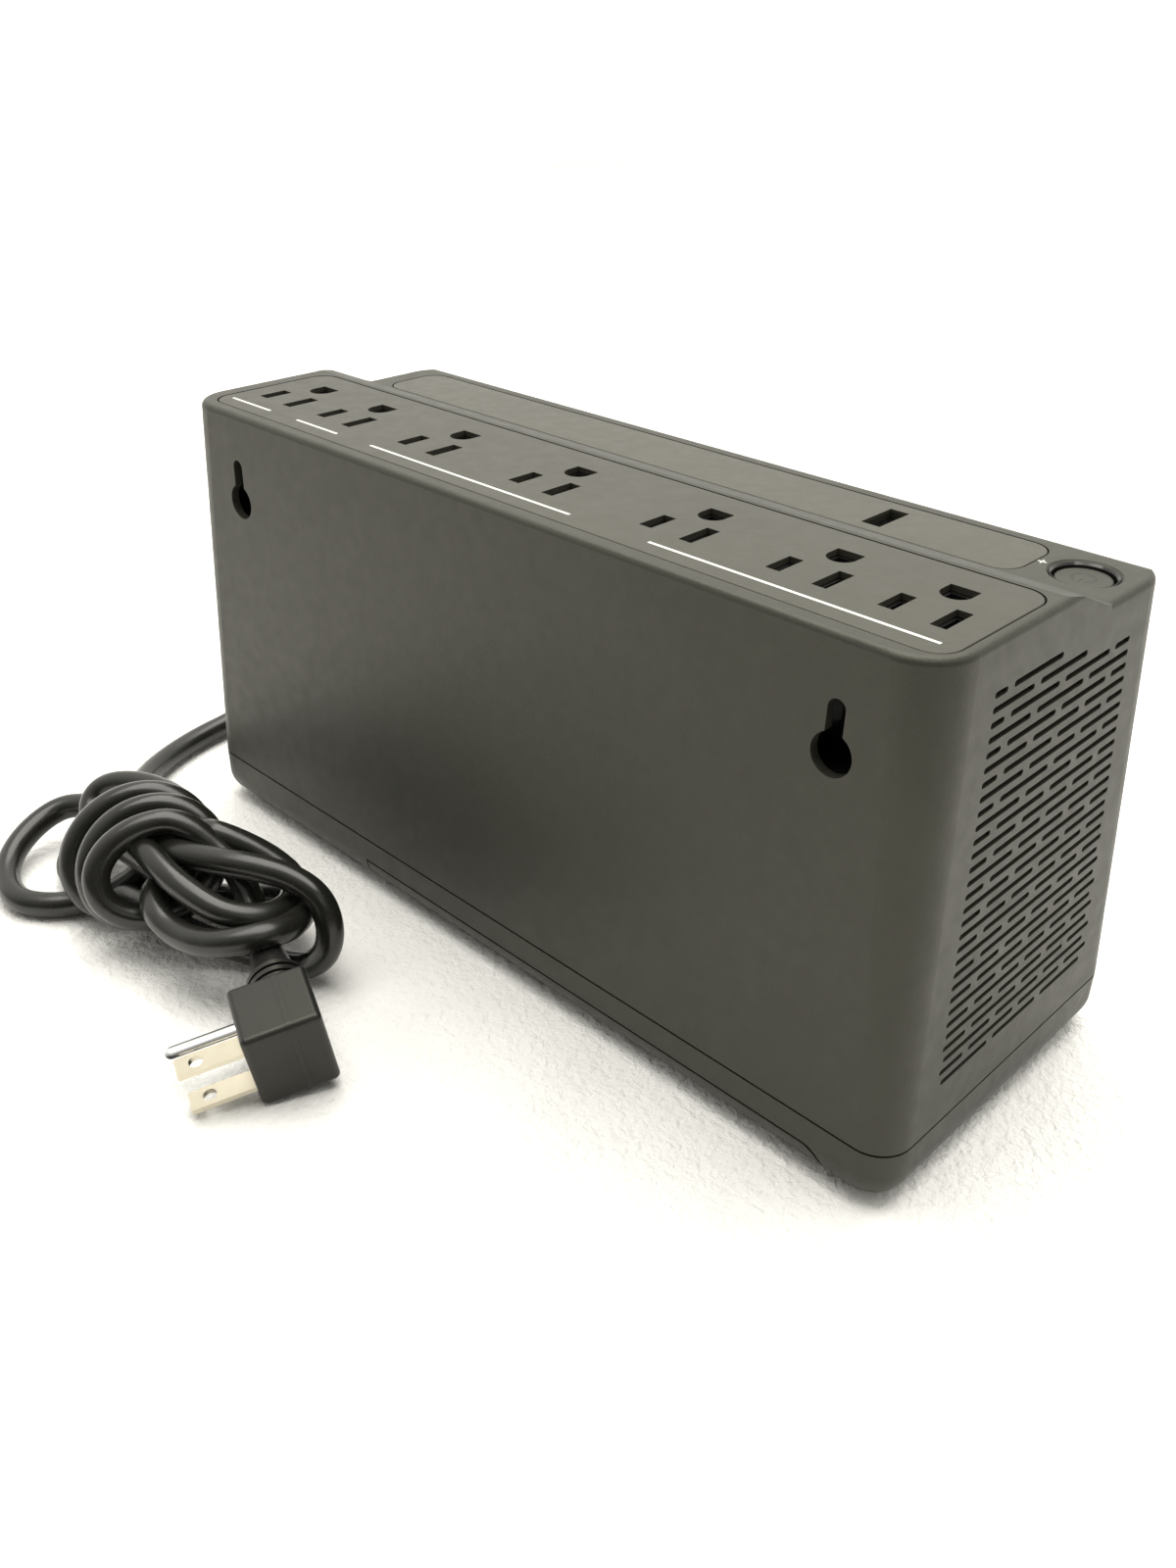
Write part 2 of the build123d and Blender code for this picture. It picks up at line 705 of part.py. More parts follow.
def winding_ring(outer, inner, z):
    x_outer = (TRANSFORMER_X - 14 - outer, TRANSFORMER_X + 14 + outer)
    x_inner = (TRANSFORMER_X - 14 - inner, TRANSFORMER_X + 14 + inner)
    body = rounded_plate(x_outer, (-11 - outer, 11 + outer), z, 3.0)
    return body - block(x_inner, (-11 - inner, 11 + inner), grown(z, 1))


def make_transformer_bobbin():
    sleeve = winding_ring(1.4, 0.3, (18.2, 49.4))
    return sleeve + winding_ring(9.8, 0.3, (18.2, 19.6)) + winding_ring(9.8, 0.3, (48.0, 49.4))


def make_transformer_winding():
    return winding_ring(9.2, 1.6, (19.8, 47.8))


def make_transformer_bracket():
    """A steel strap over the core with two screwed feet."""
    x = (TRANSFORMER_X - 13, TRANSFORMER_X + 13)
    strap = block(x, (-34, 34), (4.3, 62.6)) - block(grown(x, 1), (-32.3, 32.3), (6.0, 61.1))
    strap = strap + block(x, (-43, 43), (4.3, 6.0))
    holes = [rod(TRANSFORMER_X, y, (3, 8), 2.2) for y in (-38.5, 38.5)]
    return strap - holes


def make_transformer_screws():
    screws = []
    for y in (-38.5, 38.5):
        screws.append(rod(TRANSFORMER_X, y, (6.05, 8.6), 3.4) + rod(TRANSFORMER_X, y, (4.3, 7), 2.0))
    return Compound(children=screws)


# ---- hidden end --------------------------------------------------------------


def along_x(x, y, z, radius):
    """A cylinder lying along X between two x values."""
    return Pos(middle(x), y, z) * Rot(0, 90, 0) * Cylinder(radius, width(x))


def breaker_wall_x():
    return half_length(BREAKER_Z)


def make_breaker_body():
    wall = breaker_wall_x()
    body = block((wall - 24, wall - WALL - 1.3), (BREAKER_Y - 7, BREAKER_Y + 7), (BREAKER_Z - 14, BREAKER_Z + 14))
    bush = along_x((wall - WALL - 2, wall + 1.2), BREAKER_Y, BREAKER_Z, 5.0)
    return (body + bush) - along_x((wall - 12, wall + 3), BREAKER_Y, BREAKER_Z, 3.4)


def make_breaker_nut():
    wall = breaker_wall_x()
    nut = along_x((wall + 0.6, wall + 2.4), BREAKER_Y, BREAKER_Z, 7.6)
    nut = nut - along_x((wall - 1, wall + 4), BREAKER_Y, BREAKER_Z, 5.1)
    notches = []
    for index in range(12):
        angle = 2 * math.pi * index / 12
        y = BREAKER_Y + 8.0 * math.cos(angle)
        z = BREAKER_Z + 8.0 * math.sin(angle)
        notches.append(along_x((wall - 1, wall + 4), y, z, 0.9))
    return nut - notches


def make_breaker_button():
    wall = breaker_wall_x()
    button = along_x((wall - 7, LENGTH / 2), BREAKER_Y, BREAKER_Z, 2.9)
    return fillet(button.faces().sort_by(Axis.X)[-1].edges(), 0.7)


# ---- cord --------------------------------------------------------------------


def distance(a, b):
    return math.sqrt(sum((p - q) ** 2 for p, q in zip(a, b)))


def bend_radii(points):
    """Fillet radii that keep a straight stretch between neighbouring bends."""
    radii = []
    for before, at, after in zip(points, points[1:], points[2:]):
        first = Vector(*at) - Vector(*before)
        second = Vector(*after) - Vector(*at)
        half_turn = math.radians(first.get_angle(second)) / 2
        radii.append(0.45 * min(first.length, second.length) / math.tan(half_turn))
    return radii


def tube(points, diameter):
    """A round tube of straight runs joined by tangent arcs."""
    radii = bend_radii(points)
    print("bend radii", [round(radius, 1) for radius in radii])
    route = FilletPolyline(*points, radius=radii)
    start = Plane(origin=route @ 0, z_dir=route % 0)
    solid = sweep(start * Circle(diameter / 2), path=route)
    section = math.pi * diameter**2 / 4
    print("tube volume", round(solid.volume), "section by length", round(section * route.length))
    return solid


def make_power_cord():
    return tube(CORD_ROUTE, CORD_DIAMETER)


def make_cord_strain_relief():
    """A tapered boot through the end wall, with a flange inside."""
    y = CORD_EXIT[1]
    z = CORD_EXIT[2]
    taper_length = RELIEF_TIP_X - CORD_EXIT[0]
    tip_radius = CORD_DIAMETER / 2 + 1.4
    taper = Pos(CORD_EXIT[0] + taper_length / 2, y, z) * Rot(0, 90, 0) * Cone(RELIEF_RADIUS, tip_radius, taper_length)
    neck = along_x((CORD_EXIT[0] - 5, CORD_EXIT[0] + 0.1), y, z, RELIEF_RADIUS)
    flange = along_x((CORD_EXIT[0] - 6.5, CORD_EXIT[0] - 3.6), y, z, RELIEF_RADIUS + 2.0)
    flange = flange & block((0, 200), (y - 20, y + 20), (SEAM_Z + 0.5, 60))
    bore = along_x((CORD_EXIT[0] - 0.05, RELIEF_TIP_X + 1), y, z, CORD_DIAMETER / 2 + 0.05)
    return taper + neck + flange - bore


def lobe(outline, side_view):
    """A closed lobe of the hank from its plan outline and its side view."""
    plan = extrude(make_face(Polyline(*outline, close=True)), amount=60)
    flat = [(x, 0.0, z) for x, z in side_view]
    side = extrude(make_face(Polyline(*flat, close=True)), amount=200, both=True)
    return plan & side


def make_cord_hank():
    left = lobe(
        ((98, 90), (128, 84), (147, 84), (158, 96), (160, 112), (150, 124), (136, 133), (114, 139), (98, 132)),
        ((90, 0.4), (162, 0.4), (162, 12), (150, 18), (112, 24), (90, 24)),
    )
    right = lobe(
        ((98, 118), (72, 116), (50, 106), (30, 97), (25, 88), (32, 77), (56, 74), (76, 78), (98, 84)),
        ((98, 0.4), (24, 0.4), (24, 11), (48, 18), (84, 26), (98, 26)),
    )
    start = Vector(*WRAP_START)
    step = Vector(*WRAP_STEP)
    half_cord = step.normalized() * (CORD_DIAMETER / 2)
    normal = Vector(*WRAP_SIDE).cross(Vector(*WRAP_UP))
    face = Plane(origin=start - half_cord, x_dir=WRAP_SIDE, z_dir=normal) * Circle(WRAP_RADIUS + CORD_DIAMETER / 2)
    length = step.length * (WRAP_COUNT - 1) + CORD_DIAMETER
    drum = extrude(face, amount=length, dir=step)
    return left + right + drum


def plug_plane(forward=0.0):
    """Local frame of the plug: x away from the cord, y up, z along the blades."""
    origin = Vector(*PLUG_ORIGIN) + Vector(*PLUG_FORWARD) * forward
    return Plane(origin=origin, x_dir=PLUG_ACROSS, z_dir=PLUG_FORWARD)


def in_plug(shape):
    return plug_plane().location * shape


def make_plug_body():
    body = block(PLUG_X, PLUG_Y, (PLUG_BACK, -0.05))
    body = fillet(body.edges(), 1.6)
    ridge_x = (PLUG_X[0] - 0.3, PLUG_X[1] + 0.3)
    ridge_y = (PLUG_Y[0] + 1.0, PLUG_Y[1] + 0.3)
    ridge = block(ridge_x, ridge_y, (PLUG_COLLAR_DEPTH - 0.7, PLUG_COLLAR_DEPTH + 0.7))
    body = body + fillet(ridge.edges().filter_by(Axis.Z), 1.8)
    slots = [block((-3.3, 3.3), (y - 0.85, y + 0.85), (-9.1, 1)) for y in (-BLADE_SPACING / 2, BLADE_SPACING / 2)]
    pin_hole = rod(-11.9, 0, (-9.1, 1), 2.5)
    return in_plug(body - slots - pin_hole)


def make_plug_strain_relief():
    """A ribbed collar that tapers down to the cord."""
    neck = Pos(-19.8, 0.5, PLUG_COLLAR_DEPTH) * Rot(0, 90, 0) * Cylinder(PLUG_NECK_RADIUS, 9.5)
    collar = Pos(-20.0, 0.5, PLUG_COLLAR_DEPTH) * Rot(0, 90, 0) * Cylinder(PLUG_COLLAR_RADIUS, 9.1)
    taper = Pos(-30.5, 0.5, PLUG_COLLAR_DEPTH) * Rot(0, -90, 0) * Cone(PLUG_NECK_RADIUS, 4.6, 12)
    grooves = []
    for x in (-20.2, -22.7):
        ring_tool = Cylinder(PLUG_COLLAR_RADIUS + 1, 1.0) - Cylinder(PLUG_NECK_RADIUS, 2)
        grooves.append(Pos(x, 0.5, PLUG_COLLAR_DEPTH) * Rot(0, 90, 0) * ring_tool)
    return in_plug(neck + collar + taper - grooves)


def make_plug_blades():
    blades = []
    for y in (-BLADE_SPACING / 2, BLADE_SPACING / 2):
        blade = block((-3.17, 3.17), (y - 0.75, y + 0.75), (-9.0, 16.5))
        tip_edges = blade.faces().sort_by(Axis.Z)[-1].edges()
        blade = chamfer(tip_edges, 0.4)
        hole = Pos(0, y, 11.3) * Rot(90, 0, 0) * Cylinder(1.85, 4)
        blades.append(in_plug(blade - hole))
    return Compound(children=blades)


def make_plug_ground_pin():
    pin = rod(-11.9, 0, (-9.0, 19.5), 2.4)
    return in_plug(fillet(pin.faces().sort_by(Axis.Z)[-1].edges(), 2.2))


for node, shape in (
    ("upper_housing", make_upper_housing()),
    ("base_tray", make_base_tray()),
    ("battery_door", make_battery_door()),
    ("rubber_feet", make_rubber_feet()),
    ("housing_screws", make_housing_screws()),
    ("outlet_deck_panel", make_outlet_deck_panel()),
    ("receptacle_block_battery", make_receptacle_block(outlet_centres()[:BATTERY_OUTLETS])),
    ("receptacle_block_surge", make_receptacle_block(outlet_centres()[BATTERY_OUTLETS:])),
    ("hot_bus_battery", make_bus((28.4, 33.4), (28.4, 30.1), outlet_centres()[:BATTERY_OUTLETS], BLADE_SPACING / 2)),
    ("hot_bus_surge", make_bus((28.4, 33.4), (28.4, 30.1), outlet_centres()[BATTERY_OUTLETS:], BLADE_SPACING / 2)),
    ("neutral_bus", make_bus((21.8, 27.4), (25.7, 27.4), outlet_centres(), -BLADE_SPACING / 2)),
    ("ground_bus", make_bus((12.6, 18.6), (13.4, 17.8), outlet_centres(), 0.0)),
    ("label_panel", make_label_panel()),
    ("button_well_ring", make_button_well_ring()),
    ("power_button", make_power_button()),
    ("power_switch", make_power_switch()),
    ("usb_port_shell", make_usb_port_shell()),
    ("usb_port_tongue", make_usb_port_tongue()),
    ("usb_board", make_usb_board()),
    ("keyhole_pocket_left", make_keyhole_pocket(KEYHOLE_X[0])),
    ("keyhole_pocket_right", make_keyhole_pocket(KEYHOLE_X[1])),
    ("battery", make_battery()),
    ("battery_terminals", make_battery_terminals()),
    ("battery_lead_red", make_battery_lead(1)),
    ("battery_lead_black", make_battery_lead(-1)),
    ("battery_divider", make_battery_divider()),
    ("main_board", make_main_board()),
    ("board_screws", make_board_screws()),
    ("heatsink", make_heatsink()),
    ("mosfets", make_mosfets()),
    ("relays", make_relays()),
    ("capacitors", make_capacitors()),
    ("surge_varistors", make_surge_varistors()),
    ("choke", make_choke()),
    ("buzzer", make_buzzer()),
    ("transformer_core", make_transformer_core()),
    ("transformer_bobbin", make_transformer_bobbin()),
    ("transformer_winding", make_transformer_winding()),
    ("transformer_bracket", make_transformer_bracket()),
    ("transformer_screws", make_transformer_screws()),
    ("breaker_body", make_breaker_body()),
    ("breaker_nut", make_breaker_nut()),
    ("breaker_button", make_breaker_button()),
    ("cord_strain_relief", make_cord_strain_relief()),
    ("power_cord", make_power_cord()),
    ("cord_hank", make_cord_hank()),
    ("plug_strain_relief", make_plug_strain_relief()),
    ("plug_body", make_plug_body()),
    ("plug_blades", make_plug_blades()),
    ("plug_ground_pin", make_plug_ground_pin()),
):
    save(shape, node)
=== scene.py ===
import json
import math

import bpy
from mathutils import Matrix, Vector


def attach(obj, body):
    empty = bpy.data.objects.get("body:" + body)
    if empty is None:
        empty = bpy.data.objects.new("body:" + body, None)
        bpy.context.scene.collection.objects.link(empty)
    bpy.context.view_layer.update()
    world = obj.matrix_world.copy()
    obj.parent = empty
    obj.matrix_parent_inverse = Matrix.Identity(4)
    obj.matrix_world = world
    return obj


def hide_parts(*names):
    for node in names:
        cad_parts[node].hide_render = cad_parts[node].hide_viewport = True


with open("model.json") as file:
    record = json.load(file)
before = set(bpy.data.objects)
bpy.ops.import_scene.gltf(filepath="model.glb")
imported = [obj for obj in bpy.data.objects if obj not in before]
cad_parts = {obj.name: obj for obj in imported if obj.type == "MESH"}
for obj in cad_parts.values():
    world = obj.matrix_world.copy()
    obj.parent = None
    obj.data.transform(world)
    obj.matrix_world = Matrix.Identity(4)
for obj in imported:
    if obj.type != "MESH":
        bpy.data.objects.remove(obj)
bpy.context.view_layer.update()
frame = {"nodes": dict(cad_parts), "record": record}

nodes = frame["nodes"]
scene = bpy.context.scene
MM = 0.001

# ---- sizes shared with the CAD part (millimetres) ----

BUTTON_CENTRE = (-118.0, -30.7)
STRIP_Z = 131.0
CORD_DIAMETER = 7.8

# The cord from the case to the hank, as in the CAD part.
TO_HANK = (
    (137, -34, 24),
    (168, -34, 24),
    (184, -10, 13),
    (172, 18, 4.8),
    (169, 46, 4.2),
    (158, 70, 5),
    (136, 88, 10),
)

# The strands of the hank in the order that the cord runs through them.
UPPER_STRAND = (
    (110, 88, 16),
    (91, 96, 25),
    (75, 98, 32),
    (65, 96, 35),
    (57, 90, 31),
    (51, 86, 27),
    (45, 84, 23),
)
FRONT_LOOP = (
    (39, 88, 22),
    (34, 94, 23),
    (32, 102, 25),
    (37, 110, 27),
    (46, 113, 29),
    (59, 115, 32),
    (73, 114, 34),
    (86, 113, 32),
    (91, 107, 26),
    (92, 103, 19),
)
LEFT_LOOP = (
    (93, 107, 12),
    (97, 116, 7),
    (104, 124, 4.2),
    (109, 131, 4.2),
    (118, 136.5, 4.2),
    (131, 134, 4.6),
    (140, 127, 7),
    (145, 117, 10),
    (145, 107, 13),
    (139, 101, 14),
)
OUTER_LOOP = (
    (130, 98, 16),
    (106, 103, 22),
    (82, 108, 29),
    (66, 108, 33),
    (53, 103, 34),
    (43, 97, 34),
    (34, 91, 32),
    (26, 88, 28),
    (22, 88, 20),
    (22, 90, 12),
    (27, 93, 6),
    (35, 97, 4.3),
    (44, 99, 4.3),
)
UNDER_STRAND = ((53, 106, 7), (60, 112, 11), (68, 115, 13), (78, 113, 11), (90, 113, 8), (102, 116, 6))
HIDDEN_FOLD = ((112, 119, 5), (122, 118, 5), (128, 112, 7), (125, 104, 10), (114, 100, 12))
LOWER_STRAND = ((98, 100, 12), (83, 99, 9), (72, 95, 8), (64, 88, 9), (55, 84, 12), (45, 83, 16))
NEAR_LOOP = (
    (33, 89, 20),
    (26, 98, 23),
    (25, 106, 25),
    (30, 114, 24),
    (38, 119, 22),
    (49, 121, 21),
    (58, 121, 23),
    (66, 117, 24),
    (73, 109, 21),
)
TO_WRAPS = (
    (87, 107, 18),
    (102, 106, 16),
    (115, 108, 16),
    (123, 107, 18),
    (128, 103, 22),
    (126, 98, 26),
    (118, 93, 28),
    (108, 89, 28),
)
TO_PLUG = ((59, 96, 29), (51, 97, 25), (45, 98, 20.5), (36, 102, 17.6), (28, 106, 16.9))

# Each turn of the wraps: where its centre is, then its half width and half height.
WRAP_TURNS = (
    ((103.5, 105.5, 17.8), 18, 17),
    ((93, 107.5, 20.7), 18.3, 18),
    ((81, 109, 24.1), 17.2, 17),
    ((70, 112, 27.8), 17.2, 13.6),
    ((63.5, 114.5, 30.4), 17.2, 12.6),
)
WRAP_SIDE = Vector((0.45, 0.89, 0.0))
WRAP_UP = Vector((0.39, -0.39, 0.83))
WRAP_START_TURN = 0.4
WRAP_END_TURN = 3.3
POINTS_PER_TURN = 10


# ---- camera --------------------------------------------------------------------

CAMERA_PLACE = (-239.345, 252.961, 246.066)
CAMERA_LENS = 31.0
CAMERA_SENSOR = 36.0
CAMERA_HEADING = math.radians(-45.513)
CAMERA_TILT = math.radians(30.837)
CAMERA_ROLL = math.radians(0.393)
QUARTER_TURN = math.radians(90.0)


def make_camera():
    """The photographer's place: above the back, off the vented end."""
    data = bpy.data.cameras.new("camera")
    data.lens = CAMERA_LENS
    data.sensor_width = CAMERA_SENSOR
    data.sensor_fit = "AUTO"
    camera = bpy.data.objects.new("camera", data)
    heading = Matrix.Rotation(CAMERA_HEADING - QUARTER_TURN, 4, "Z")
    tilt = Matrix.Rotation(QUARTER_TURN - CAMERA_TILT, 4, "X")
    roll = Matrix.Rotation(CAMERA_ROLL, 4, "Z")
    camera.matrix_world = Matrix.Translation(Vector(CAMERA_PLACE) * MM) @ heading @ tilt @ roll
    scene.collection.objects.link(camera)
    scene.camera = camera


# ---- materials -----------------------------------------------------------------

CASE_COLOUR = (0.026, 0.026, 0.021)
# The deck is the case's plastic painted lighter: painted light from the overhead lamp on the top.
DECK_PAINTED_LIGHT_COLOUR = (0.041, 0.040, 0.032)
BLACK = (0.012, 0.012, 0.012)
PRINT_COLOUR = (0.66, 0.66, 0.62)
PLASTIC_GRAIN = 0.00006
PLASTIC_SHEEN = 0.42
SHEEN_COLOUR = (1.0, 0.98, 0.84, 1.0)
NOISE_RANGE = (0.3, 0.7)

# Printed lines on the outlet plate: the start and end of each along x, and their y.
PRINTED_LINES_X = ((100.5, 119.9), (68.4, 87.3), (-22.7, 53.4), (-123.1, -47.8))
PRINTED_LINES_Y = (38.75, 39.65)

# The small printed mark beside the power button, and the sign on the button.
MARK_CENTRE = (-107.6, -30.3)
MARK_REACH = 1.1
MARK_LINE = 0.2
SIGN_RADIUS = 2.7
SIGN_LINE = 0.25
SIGN_OPENING = 1.0
SIGN_STROKE_Y = (0.3, 3.1)


class Finish:
    """A material with one principled shader and short ways to feed it."""

    def __init__(self, name):
        self.material = bpy.data.materials.new(name)
        self.material.use_nodes = True
        self.tree = self.material.node_tree
        self.tree.nodes.clear()
        output = self.tree.nodes.new("ShaderNodeOutputMaterial")
        self.shader = self.tree.nodes.new("ShaderNodeBsdfPrincipled")
        self.link(self.shader.outputs["BSDF"], output.inputs["Surface"])
        self.place = self.tree.nodes.new("ShaderNodeTexCoord").outputs["Object"]

    def link(self, source, target):
        """Joins an output socket to an input socket."""
        self.tree.links.new(source, target)

    def set(self, name, value):
        """Gives one input of the shader a plain value."""
        self.shader.inputs[name].default_value = value

    def math(self, operation, first, second=None):
        """The result of one sum on sockets or numbers."""
        node = self.tree.nodes.new("ShaderNodeMath")
        node.operation = operation
        for socket, value in zip(node.inputs, (first, second)):
            if value is None:
                continue
            if isinstance(value, (int, float)):
                socket.default_value = value
            else:
                self.link(value, socket)
        return node.outputs[0]

    def noise(self, scale, detail=3.0, roughness=0.5, stretch=None):
        """Noise over the piece, stretched along its axes where that is asked for."""
        node = self.tree.nodes.new("ShaderNodeTexNoise")
        node.inputs["Scale"].default_value = scale
        node.inputs["Detail"].default_value = detail
        node.inputs["Roughness"].default_value = roughness
        place = self.place
        if stretch:
            mapping = self.tree.nodes.new("ShaderNodeMapping")
            mapping.inputs["Scale"].default_value = stretch
            self.link(place, mapping.inputs["Vector"])
            place = mapping.outputs["Vector"]
        self.link(place, node.inputs["Vector"])
        return node.outputs["Fac"]

    def spread(self, value, low, high):
        """The usual range of the noise, spread from low to high."""
        node = self.tree.nodes.new("ShaderNodeMapRange")
        node.inputs["From Min"].default_value = NOISE_RANGE[0]
        node.inputs["From Max"].default_value = NOISE_RANGE[1]
        node.inputs["To Min"].default_value = low
        node.inputs["To Max"].default_value = high
        self.link(value, node.inputs["Value"])
        return node.outputs["Result"]

    def mix(self, amount, first, second):
        """Two colours mixed by an amount from 0 to 1."""
        node = self.tree.nodes.new("ShaderNodeMix")
        node.data_type = "RGBA"
        for socket, value in zip((node.inputs[0], node.inputs[6], node.inputs[7]), (amount, first, second)):
            if isinstance(value, (int, float)):
                socket.default_value = value
            elif isinstance(value, tuple):
                socket.default_value = (*value, 1.0)
            else:
                self.link(value, socket)
        return node.outputs[2]

    def bump(self, height, depth):
        """Fine relief in the surface, its depth in metres."""
        node = self.tree.nodes.new("ShaderNodeBump")
        node.inputs["Distance"].default_value = depth
        self.link(height, node.inputs["Height"])
        self.link(node.outputs["Normal"], self.shader.inputs["Normal"])

    def axes(self):
        """The place on the piece along x, y and z."""
        node = self.tree.nodes.new("ShaderNodeSeparateXYZ")
        self.link(self.place, node.inputs["Vector"])
        return node.outputs["X"], node.outputs["Y"], node.outputs["Z"]


def shade(colour, factor):
    """A lighter or darker version of a colour."""
    return tuple(channel * factor for channel in colour)


def blend(finish, amount, first, second):
    """Feeds the base colour with a blend of two colours."""
    finish.link(finish.mix(amount, first, second), finish.shader.inputs["Base Color"])


def textured_plastic(name, colour, roughness, grain=PLASTIC_GRAIN, sheen=PLASTIC_SHEEN):
    """Moulded plastic with a fine spark texture and faint mottling."""
    finish = Finish(name)
    cloud = finish.noise(38.0, 4.0)
    blend(finish, finish.spread(cloud, 0.0, 1.0), shade(colour, 0.94), shade(colour, 1.06))
    polish = finish.spread(finish.noise(220.0), roughness - 0.04, roughness + 0.04)
    finish.link(polish, finish.shader.inputs["Roughness"])
    finish.bump(finish.noise(2600.0, 2.0), grain)
    finish.set("Specular IOR Level", sheen)
    finish.set("Specular Tint", SHEEN_COLOUR)
    return finish


def glossy_plastic(name, colour, roughness):
    """Smooth plastic or lacquer, slightly smeared by handling."""
    finish = Finish(name)
    smear = finish.noise(90.0, 4.0)
    finish.link(finish.spread(smear, roughness - 0.05, roughness + 0.08), finish.shader.inputs["Roughness"])
    blend(finish, finish.spread(smear, 0.0, 1.0), shade(colour, 0.85), shade(colour, 1.15))
    finish.bump(finish.noise(700.0), 0.00002)
    return finish


def brushed_metal(name, colour, roughness, stretch=(40.0, 600.0, 600.0), wear=0.2):
    """Metal with fine lines; the wear sets how much they show."""
    finish = Finish(name)
    lines = finish.noise(1.0, 4.0, 0.6, stretch)
    finish.set("Metallic", 1.0)
    blend(finish, finish.spread(lines, 0.0, 1.0), shade(colour, 1.0 - wear), colour)
    polish = finish.spread(lines, roughness - 0.3 * wear, roughness + 0.5 * wear)
    finish.link(polish, finish.shader.inputs["Roughness"])
    finish.bump(lines, 0.00015 * wear)
    return finish


def box_mask(finish, x, y, x_span, y_span):
    """1 inside a rectangle given in millimetres, 0 outside it."""
    bands = []
    for value, (low, high) in ((x, x_span), (y, y_span)):
        above = finish.math("GREATER_THAN", value, low * MM)
        below = finish.math("LESS_THAN", value, high * MM)
        bands.append(finish.math("MULTIPLY", above, below))
    return finish.math("MULTIPLY", *bands)


def around(middle, reach):
    """The span that reaches as far to each side of a middle."""
    return (middle - reach, middle + reach)


def print_and_shade_over(finish, mask, colour):
    """Printing on top of a textured plastic; on the power button it lays painted shade instead."""
    base = finish.shader.inputs["Base Color"].links[0].from_socket
    blend(finish, mask, base, colour)


def deck_panel_finish():
    """The outlet plate with its thin printed lines, on the case plastic painted lighter as painted light
    from overhead.
    """
    finish = textured_plastic("deck_panel", DECK_PAINTED_LIGHT_COLOUR, 0.46)
    x, y, _ = finish.axes()
    mask = 0.0
    for x_span in PRINTED_LINES_X:
        line = box_mask(finish, x, y, x_span, PRINTED_LINES_Y)
        mask = finish.math("MAXIMUM", line, mask)
    print_and_shade_over(finish, mask, PRINT_COLOUR)
    return finish


def case_finish():
    """The housing with one small plain mark printed beside the power button."""
    finish = textured_plastic("case", CASE_COLOUR, 0.46)
    x, y, z = finish.axes()
    mark_x, mark_y = MARK_CENTRE
    bar_along_x = box_mask(finish, x, y, around(mark_x, MARK_REACH), around(mark_y, MARK_LINE))
    bar_along_y = box_mask(finish, x, y, around(mark_x, MARK_LINE), around(mark_y, MARK_REACH))
    cross = finish.math("MAXIMUM", bar_along_x, bar_along_y)
    on_strip = finish.math("GREATER_THAN", z, (STRIP_Z - 1) * MM)
    print_and_shade_over(finish, finish.math("MULTIPLY", cross, on_strip), PRINT_COLOUR)
    return finish


def button_finish():
    """The power button with the usual open ring and stroke engraved in its top, painted dark as painted
    shade in the engraving.
    """
    finish = textured_plastic("button", CASE_COLOUR, 0.44)
    x, y, z = finish.axes()
    across = finish.math("SUBTRACT", x, BUTTON_CENTRE[0] * MM)
    along = finish.math("SUBTRACT", y, BUTTON_CENTRE[1] * MM)
    across_squared = finish.math("MULTIPLY", across, across)
    along_squared = finish.math("MULTIPLY", along, along)
    distance = finish.math("SQRT", finish.math("ADD", across_squared, along_squared))
    from_ring = finish.math("ABSOLUTE", finish.math("SUBTRACT", distance, SIGN_RADIUS * MM))
    on_ring = finish.math("LESS_THAN", from_ring, SIGN_LINE * MM)
    opening = box_mask(finish, across, along, around(0.0, SIGN_OPENING), (0.0, SIGN_RADIUS + 1))
    arc = finish.math("MULTIPLY", on_ring, finish.math("SUBTRACT", 1.0, opening))
    stroke = box_mask(finish, across, along, around(0.0, SIGN_LINE), SIGN_STROKE_Y)
    on_top = finish.math("GREATER_THAN", z, (STRIP_Z - 4) * MM)
    sign = finish.math("MULTIPLY", finish.math("MAXIMUM", arc, stroke), on_top)
    # The dark ring and stroke are painted shade inside the engraved sign.
    print_and_shade_over(finish, sign, shade(CASE_COLOUR, 0.25))
    return finish


def floor_finish():
    """A sheet of white packing foam with small soft cells."""
    finish = Finish("foam_floor")
    cells = finish.noise(360.0, 4.0, 0.6)
    waves = finish.noise(34.0, 3.0)
    blend(finish, finish.spread(waves, 0.0, 1.0), (0.90, 0.89, 0.87), (0.96, 0.955, 0.94))
    finish.set("Roughness", 0.8)
    finish.bump(cells, 0.0018)
    return finish


def outside_finishes():
    """The case and everything on it that shows from outside."""
    return {
        "case": case_finish(),
        "tray": textured_plastic("tray", CASE_COLOUR, 0.46),
        "door": textured_plastic("door", CASE_COLOUR, 0.46),
        "deck_panel": deck_panel_finish(),
        # The label plate is painted lighter still than the deck: a painted reflection of the overhead light
        # on its top.
        "label_plate": textured_plastic("label_plate", shade(DECK_PAINTED_LIGHT_COLOUR, 1.25), 0.42),
        "gloss_black": glossy_plastic("gloss_black", BLACK, 0.12),
        "button": button_finish(),
        "port_metal": brushed_metal("port_metal", (0.5, 0.5, 0.5), 0.35),
        "receptacle": glossy_plastic("receptacle", (0.006, 0.006, 0.006), 0.3),
        "foot_rubber": textured_plastic("foot_rubber", (0.015, 0.015, 0.015), 0.75),
        "screw_steel": brushed_metal("screw_steel", (0.45, 0.45, 0.44), 0.35),
    }


